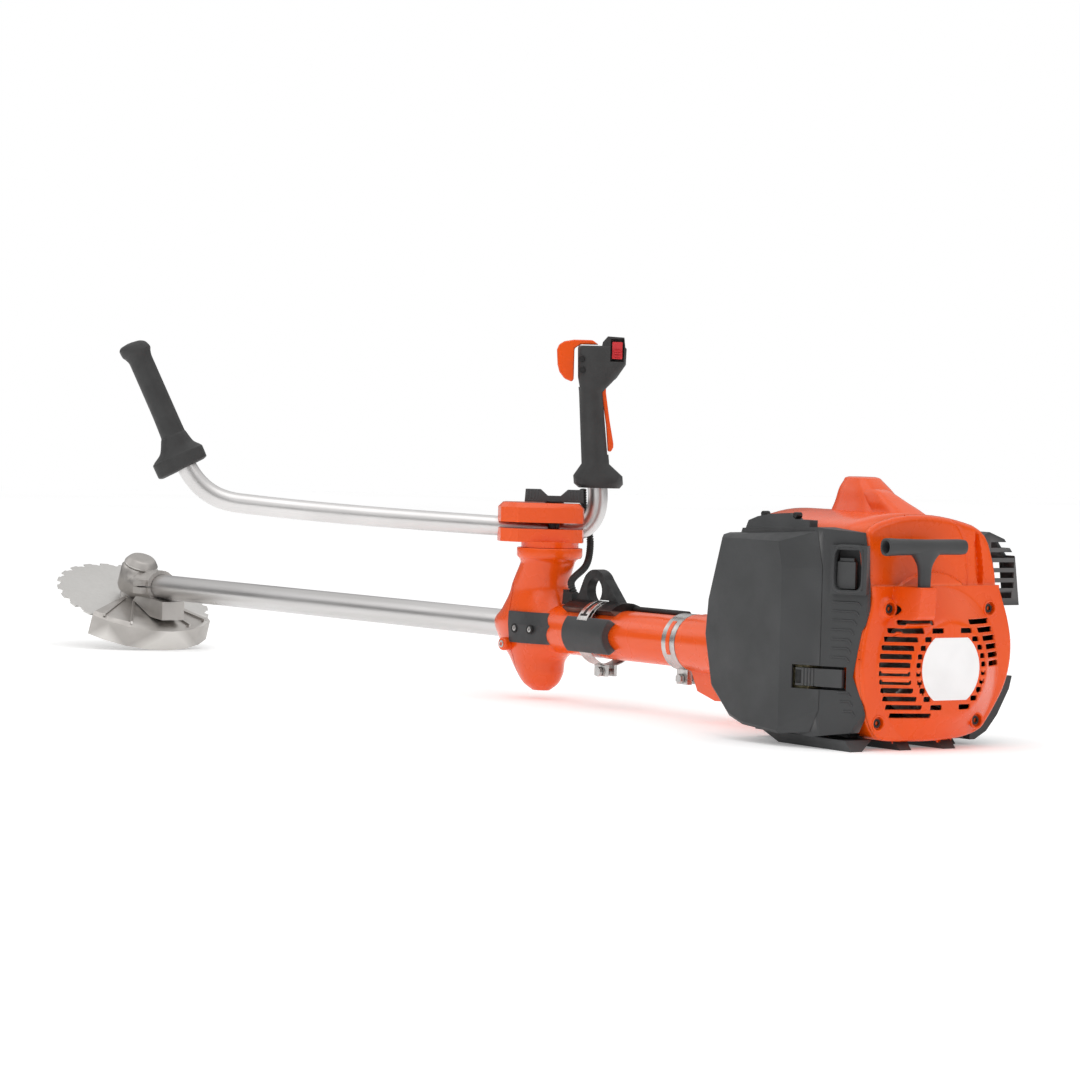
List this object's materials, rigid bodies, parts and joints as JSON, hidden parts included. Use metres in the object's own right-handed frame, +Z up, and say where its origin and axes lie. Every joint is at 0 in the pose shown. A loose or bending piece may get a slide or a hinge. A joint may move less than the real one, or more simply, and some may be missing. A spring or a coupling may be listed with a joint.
{
  "type": "brush cutter",
  "caption": "Petrol brush cutter: engine with pull starter, long shaft with bicycle handlebars and grips, bevel gear head, guard and toothed saw blade.",
  "frame": {"origin": "under the engine, on the underside of the fuel tank's middle foot, on the floor", "axes": "+X forward along the shaft to the blade, +Y left, +Z up"},
  "size_m": [1.8998, 0.5817, 0.456],
  "materials": {
    "orange_plastic": "moulded, glossy",
    "grey_plastic": "moulded, fine texture",
    "black_rubber": "moulded",
    "cast_aluminium": "cast and tumbled",
    "drawn_aluminium": "drawn and brushed",
    "orange_tube": "powder coated",
    "steel": "ground",
    "dark_steel": "blackened",
    "red_plastic": "moulded",
    "filter_foam": "pleated paper"
  },
  "bodies": {
    "chassis": {"starter_cover": "orange_plastic", "cylinder_cover": "orange_plastic", "clutch_housing": "orange_plastic", "handle_column": "orange_plastic", "column_shell": "orange_plastic", "support_tube": "orange_tube", "fuel_tank": "grey_plastic", "muffler_guard_upper": "grey_plastic", "muffler_guard_lower": "grey_plastic", "filter_base": "grey_plastic", "column_pad": "grey_plastic", "spark_plug": "black_rubber", "tube_bush_rear": "black_rubber", "tube_bush_front": "black_rubber", "cable_guide": "black_rubber", "cable_grommet": "black_rubber", "throttle_cable": "black_rubber", "crankcase": "cast_aluminium", "cylinder": "cast_aluminium", "carburettor": "cast_aluminium", "gear_housing": "cast_aluminium", "gear_cap": "cast_aluminium", "blade_guard": "cast_aluminium", "shaft_tube": "drawn_aluminium", "band_clamp": "steel", "band_bolt": "steel", "muffler": "dark_steel", "cover_screw_top_left": "dark_steel", "cover_screw_top_right": "dark_steel", "cover_screw_low_left": "dark_steel", "cover_screw_low_right": "dark_steel", "air_filter": "filter_foam"},
    "driveline": {"crankshaft": "steel", "flywheel_fan": "cast_aluminium", "clutch_drum": "steel", "drive_shaft": "steel", "bevel_pinion": "steel"},
    "blade": {"blade_arbor": "steel", "saw_blade": "steel", "blade_nut": "dark_steel"},
    "pulley": {"recoil_pulley": "black_rubber"},
    "starter_handle": {"pull_handle": "grey_plastic"},
    "trigger": {"throttle_trigger": "orange_plastic"},
    "lockout": {"throttle_lockout": "orange_plastic"},
    "stop_button": {"stop_switch": "red_plastic"},
    "choke_button": {"start_button": "grey_plastic"},
    "filter_lid": {"air_filter_cover": "grey_plastic"},
    "latch": {"filter_latch": "grey_plastic"},
    "tank_cap": {"fuel_cap": "black_rubber"},
    "knob": {"wing_knob": "grey_plastic"},
    "bar_clamp": {"clamp_lower": "orange_plastic", "clamp_upper": "orange_plastic"},
    "bars": {"handlebar": "drawn_aluminium", "left_grip": "grey_plastic", "throttle_grip_rear": "grey_plastic", "throttle_grip_front": "grey_plastic"},
    "harness_ring": {"suspension_pad": "grey_plastic", "suspension_eye": "grey_plastic", "suspension_strap": "steel", "suspension_pin": "steel"}
  },
  "joints": [
    {"name": "driveline_spin", "type": "hinge", "parent": "chassis", "child": "driveline", "pos_m": [0, 0, 0.09], "axis": [1, 0, 0], "continuous": true},
    {"name": "blade_spin", "type": "hinge", "parent": "chassis", "child": "blade", "pos_m": [1.6315, 0, 0.09], "axis": [-0.3907, 0, 0.9205], "continuous": true},
    {"name": "starter_pull", "type": "slide", "parent": "chassis", "child": "starter_handle", "axis": [0, 0, 1], "range_m": [0, 0.75], "stiffness_N_per_m": 8},
    {"name": "pulley_spin", "type": "hinge", "parent": "chassis", "child": "pulley", "pos_m": [0, 0, 0.09], "axis": [1, 0, 0], "range_deg": [0, 1030]},
    {"name": "trigger_pull", "type": "hinge", "parent": "bars", "child": "trigger", "pos_m": [0.59674, -0.06191, 0.395], "axis": [0.809, -0.5878, 0], "range_deg": [0, 4.5], "stiffness_Nm_per_rad": 0.5, "springref_deg": -5.73},
    {"name": "lockout_press", "type": "hinge", "parent": "bars", "child": "lockout", "pos_m": [0.60379, -0.05221, 0.447], "axis": [-0.809, 0.5878, 0], "range_deg": [0, 9], "stiffness_Nm_per_rad": 0.3, "springref_deg": -11.46},
    {"name": "stop_rock", "type": "hinge", "parent": "bars", "child": "stop_button", "pos_m": [0.57762, -0.06781, 0.4385], "axis": [0.5878, 0.809, 0], "range_deg": [0, 5], "stiffness_Nm_per_rad": 0.1, "springref_deg": -2.86},
    {"name": "choke_push", "type": "slide", "parent": "chassis", "child": "choke_button", "axis": [0.5088, -0.8609, 0], "range_m": [0, 0.004], "stiffness_N_per_m": 300},
    {"name": "filter_lid_off", "type": "slide", "parent": "chassis", "child": "filter_lid", "axis": [0, 1, 0], "range_m": [0, 0.06]},
    {"name": "latch_open", "type": "hinge", "parent": "filter_lid", "child": "latch", "pos_m": [-0.095, 0.118, 0.079], "axis": [0, 0, 1], "range_deg": [0, 75]},
    {"name": "cap_unscrew", "type": "hinge", "parent": "chassis", "child": "tank_cap", "pos_m": [0.11, -0.03, 0.0275], "axis": [1, 0, 0], "range_deg": [0, 270]},
    {"name": "bar_swivel", "type": "hinge", "parent": "chassis", "child": "bar_clamp", "pos_m": [0.617, 0, 0.2], "axis": [0, 0, 1], "range_deg": [-54, 36], "deforming": ["throttle_cable"]},
    {"name": "knob_turn", "type": "hinge", "parent": "bar_clamp", "child": "knob", "pos_m": [0.61465, -0.00324, 0.25], "axis": [0, 0, 1], "range_deg": [0, 360]},
    {"name": "bar_tilt", "type": "hinge", "parent": "bar_clamp", "child": "bars", "pos_m": [0.64023, -0.00205, 0.21274], "axis": [0.5872, 0.8082, 0.045], "range_deg": [0, 20]},
    {"name": "ring_slide", "type": "slide", "parent": "chassis", "child": "harness_ring", "axis": [1, 0, 0], "range_m": [-0.09, 0.003]}
  ],
  "couplings": [
    {"joint": "blade_spin", "follows": "driveline_spin", "ratio": 0.71429},
    {"joint": "pulley_spin", "follows": "starter_pull", "rad_per_m": 23.809}
  ]
}
